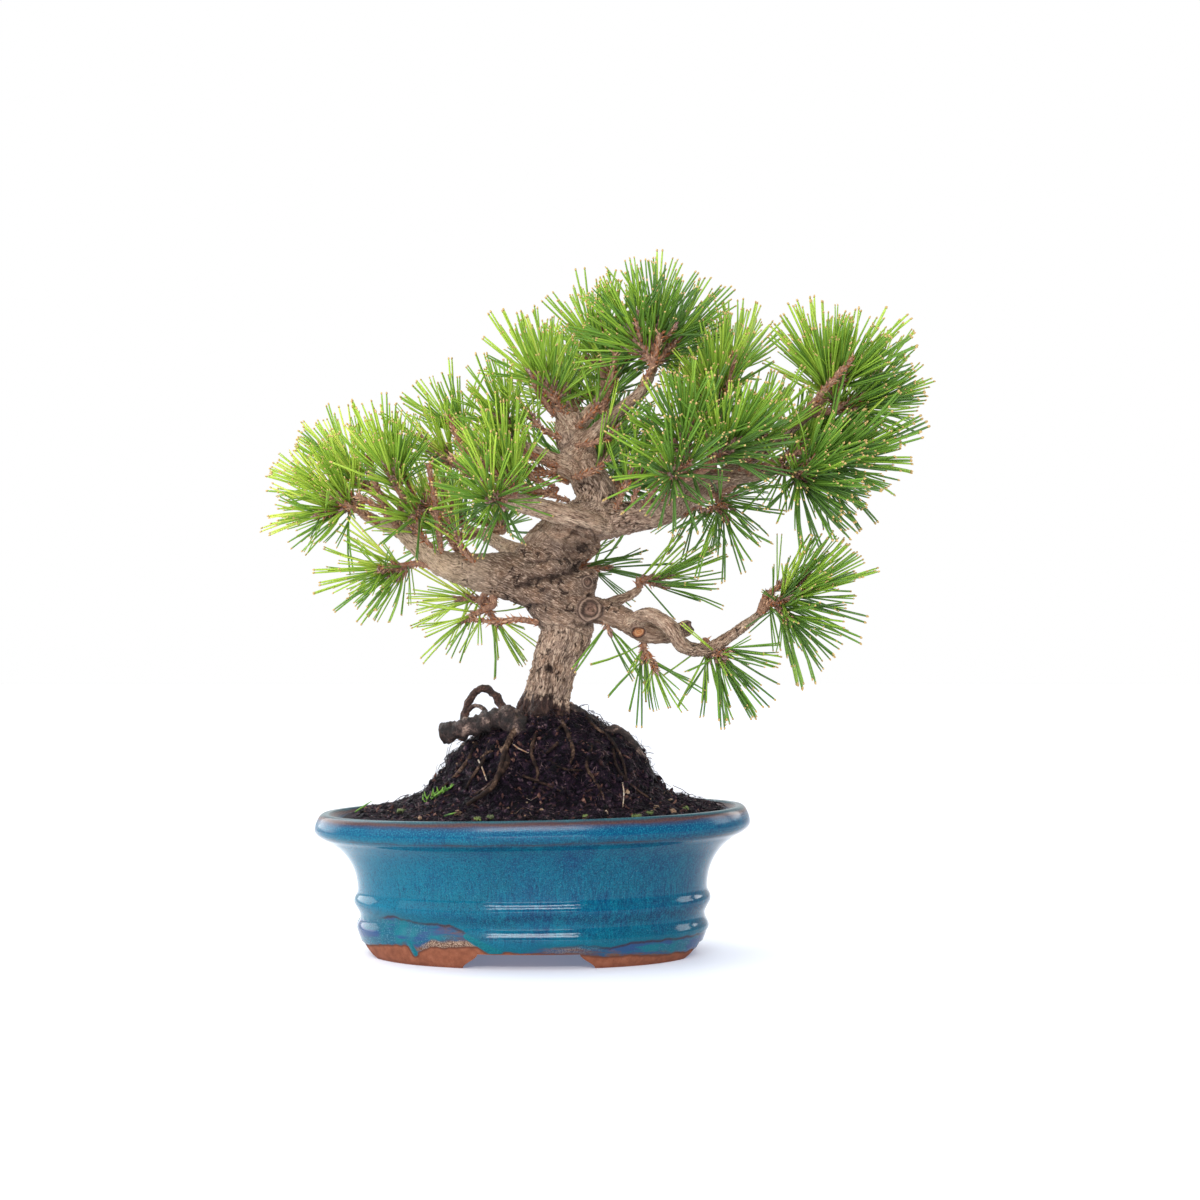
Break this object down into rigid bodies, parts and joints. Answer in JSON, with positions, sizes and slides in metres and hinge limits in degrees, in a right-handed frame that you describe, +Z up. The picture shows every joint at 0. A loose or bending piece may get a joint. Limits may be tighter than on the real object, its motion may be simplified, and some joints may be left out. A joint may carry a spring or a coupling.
{
  "type": "japanese black pine bonsai in a pot",
  "caption": "Bonsai of a japanese black pine: a leaning trunk, spreading boughs and shoots of long stiff needles, in soil heaped in a glazed oval pot on low feet.",
  "frame": {"origin": "on the level surface that the pot stands on, under the middle of the whole plant's box", "axes": "+Z up the plant, +X to the right of the front view, +Y to the back, away from the viewer of the front"},
  "size_m": [0.3762, 0.2436, 0.3932],
  "materials": {
    "glaze": "glossy blue-green glaze that breaks to brown on rim and ridges; bare clay feet",
    "soil": "damp dark crumbly potting grit with small stones",
    "roots": "damp rough root bark",
    "bark": "grey-brown flaking bark, rusty scales on young wood",
    "needles": "satin green needles"
  },
  "bodies": {
    "root": {"pot": "glaze", "soil": "soil", "root_stub": "roots", "root_arch": "roots", "root_right": "roots", "root_front": "roots", "trunk": "bark", "bough_left": "bark", "bough_right": "bark", "bough_crossing": "bark", "bough_upper_left": "bark", "bough_top_left": "bark", "bough_top": "bark", "bough_top_right": "bark", "bough_right_rising": "bark", "bough_centre": "bark", "bough_low": "bark", "bough_low_arm": "bark", "bough_low_end": "bark", "bough_mid_right": "bark", "bough_back_left": "bark", "bough_back": "bark", "bough_back_right": "bark", "bough_back_top": "bark", "foliage_left_tip": "needles", "foliage_left_pad": "needles", "foliage_left_low": "needles", "foliage_left_under": "needles", "foliage_left_inner": "needles", "foliage_crossing": "needles", "foliage_upper_left": "needles", "foliage_top_left": "needles", "foliage_top": "needles", "foliage_crown": "needles", "foliage_right": "needles", "foliage_right_top": "needles", "foliage_centre": "needles", "foliage_right_low": "needles", "foliage_right_inner": "needles", "foliage_low_stub": "needles", "foliage_low_end": "needles", "foliage_low_under": "needles", "foliage_mid_right": "needles", "foliage_behind": "needles", "foliage_back_left": "needles", "foliage_back": "needles", "foliage_back_right": "needles", "foliage_back_top": "needles"}
  },
  "joints": []
}
